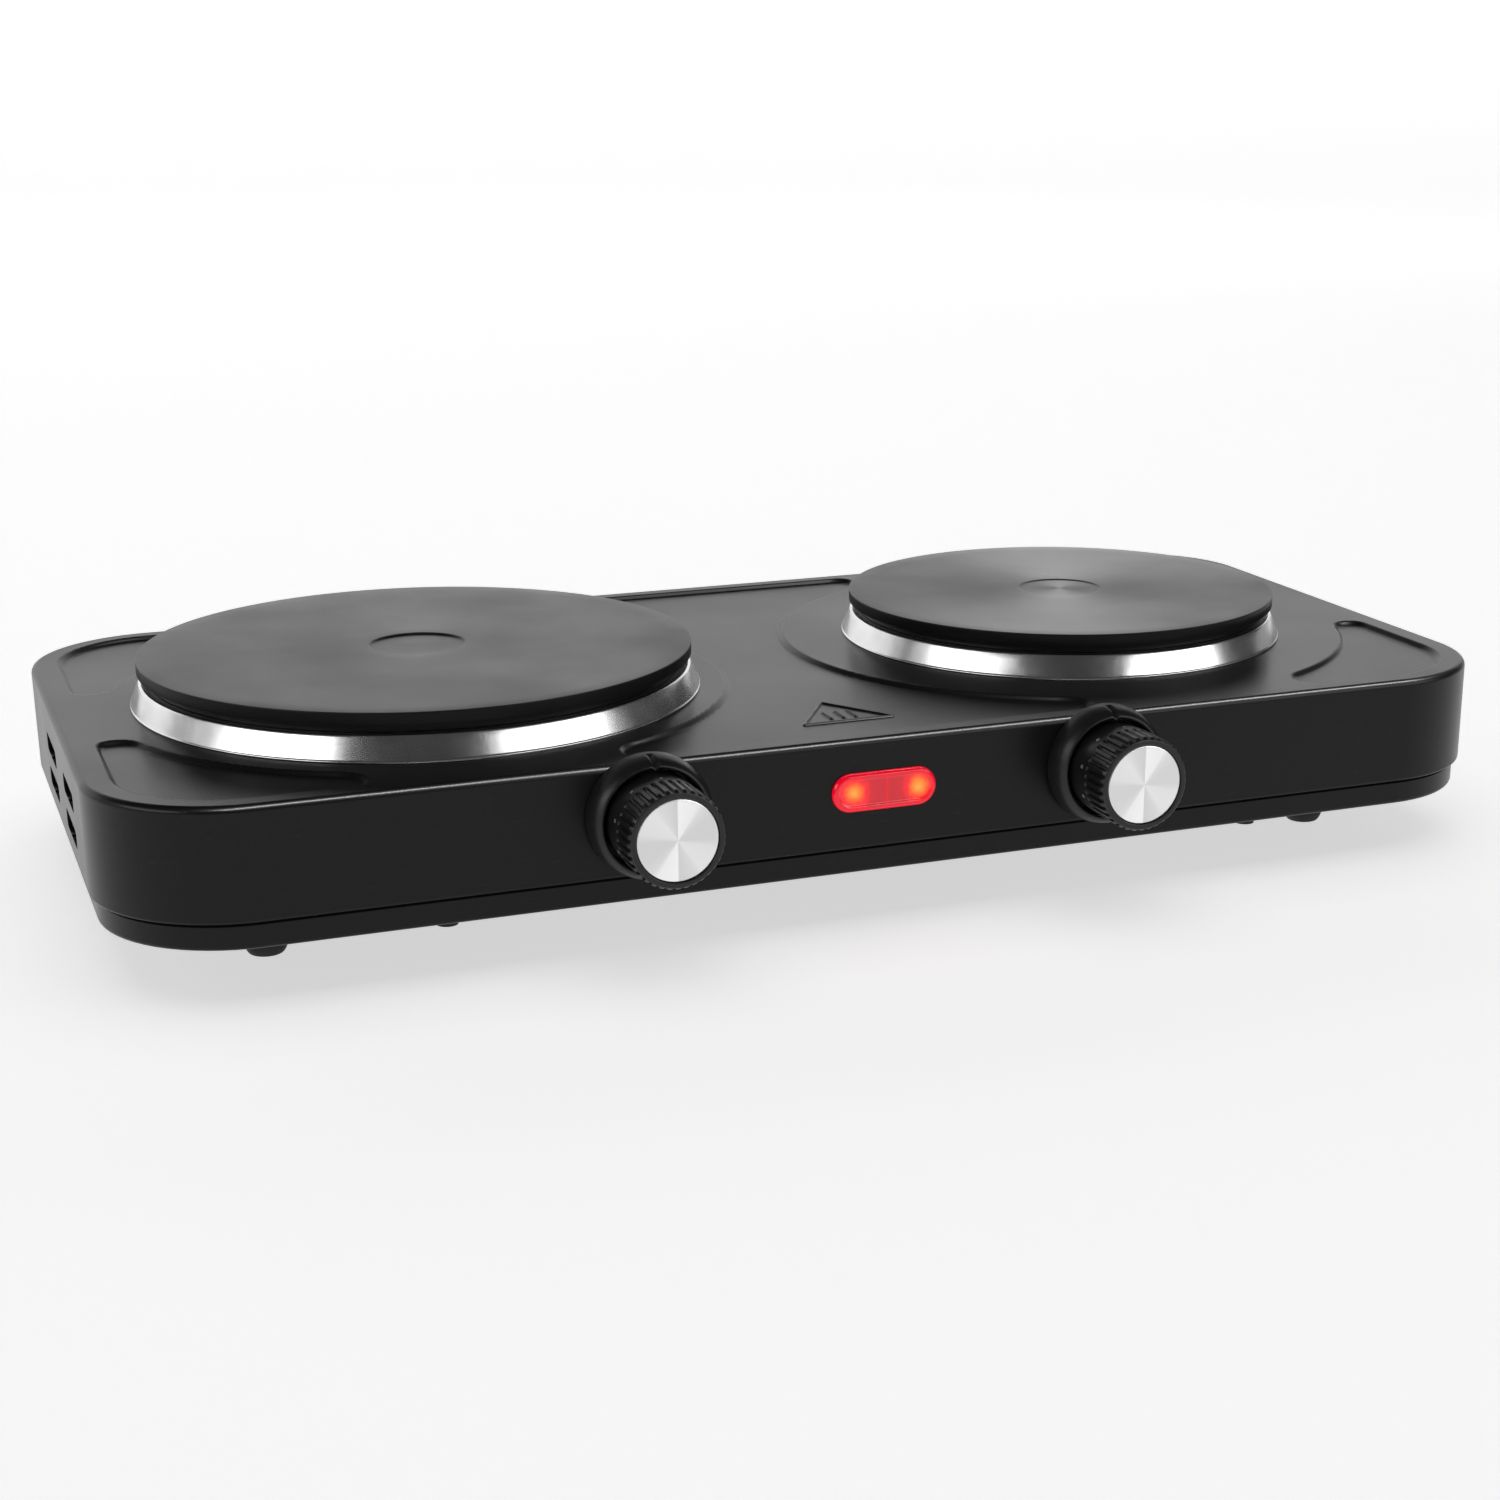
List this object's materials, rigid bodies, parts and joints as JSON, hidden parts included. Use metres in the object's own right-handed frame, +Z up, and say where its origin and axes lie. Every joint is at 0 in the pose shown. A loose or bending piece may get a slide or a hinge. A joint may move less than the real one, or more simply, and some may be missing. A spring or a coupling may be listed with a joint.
{
  "type": "hot plate burner",
  "caption": "Portable electric hot plate with a large and a small cast-iron plate in stainless rims, a black steel case, front knobs and a red pilot lamp.",
  "frame": {"origin": "centre of the bounding box at table level, under the feet", "axes": "+X to the user's right along the long side, +Y away from the user towards the back wall, +Z up"},
  "size_m": [0.483, 0.2804, 0.0786],
  "materials": {
    "case_enamel": "black satin paint",
    "zinc_steel": "zinc plated",
    "foot_rubber": "moulded black rubber",
    "plate_iron": "dark coated, fine turned",
    "trim_steel": "polished stainless steel",
    "coil_sheath": "heat-tinted sheath",
    "insulating_fill": "pressed mineral powder",
    "ceramic": "unglazed steatite",
    "knob_plastic": "black satin thermoset",
    "disc_aluminium": "spun brushed",
    "scale_print": "pad-printed white",
    "spring_bronze": "rolled strip",
    "lamp_red": "translucent red plastic",
    "lamp_white": "moulded white",
    "neon_glow": "lit neon behind clear glass",
    "terminal_brass": "nickel-free brass",
    "wire_brown": "silicone sleeve",
    "wire_blue": "silicone sleeve",
    "wire_natural": "glass-fibre sleeve"
  },
  "bodies": {
    "case": {"upper_case": "case_enamel", "base_pan": "case_enamel", "case_brackets": "zinc_steel", "case_screws": "zinc_steel", "foot_front_left": "foot_rubber", "foot_front_right": "foot_rubber", "foot_back_left": "foot_rubber", "foot_back_right": "foot_rubber", "foot_screws": "zinc_steel", "hotplate_left": "plate_iron", "hotplate_right": "plate_iron", "trim_ring_left": "trim_steel", "trim_ring_right": "trim_steel", "heating_coil_left": "coil_sheath", "heating_coil_right": "coil_sheath", "insulation_left": "insulating_fill", "insulation_right": "insulating_fill", "cover_plate_left": "zinc_steel", "cover_plate_right": "zinc_steel", "bridge_left": "zinc_steel", "bridge_right": "zinc_steel", "terminal_block_left": "ceramic", "terminal_block_right": "ceramic", "thermal_cutout_left": "zinc_steel", "thermal_cutout_right": "zinc_steel", "heat_shield_left": "zinc_steel", "heat_shield_right": "zinc_steel", "studs": "zinc_steel", "stud_nuts": "zinc_steel", "stud_washers": "zinc_steel", "bezel_left": "knob_plastic", "bezel_right": "knob_plastic", "thermostat_body_left": "zinc_steel", "thermostat_body_right": "zinc_steel", "thermostat_stack_left": "ceramic", "thermostat_stack_right": "ceramic", "contact_blade_left": "spring_bronze", "contact_blade_right": "spring_bronze", "spindle_nuts": "zinc_steel", "lamp_lens": "lamp_red", "lamp_housing": "lamp_white", "neon_bulb_left": "neon_glow", "neon_bulb_right": "neon_glow", "cord_gland": "knob_plastic", "gland_nut": "knob_plastic", "mains_terminal": "ceramic", "terminal_screws": "terminal_brass", "earth_tab": "terminal_brass", "wire_live": "wire_brown", "wire_neutral": "wire_blue", "wire_lamp": "wire_natural"},
    "knob_left": {"knob_left": "knob_plastic", "knob_disc_left": "disc_aluminium", "knob_marks_left": "scale_print", "spindle_left": "zinc_steel"},
    "knob_right": {"knob_right": "knob_plastic", "knob_disc_right": "disc_aluminium", "knob_marks_right": "scale_print", "spindle_right": "zinc_steel"}
  },
  "joints": [
    {"name": "knob_left_turn", "type": "hinge", "parent": "case", "child": "knob_left", "pos_m": [-0.0783, -0.1402, 0.0469], "axis": [0, 1, 0], "range_deg": [0, 270]},
    {"name": "knob_right_turn", "type": "hinge", "parent": "case", "child": "knob_right", "pos_m": [0.0783, -0.1402, 0.0469], "axis": [0, 1, 0], "range_deg": [0, 270]}
  ]
}
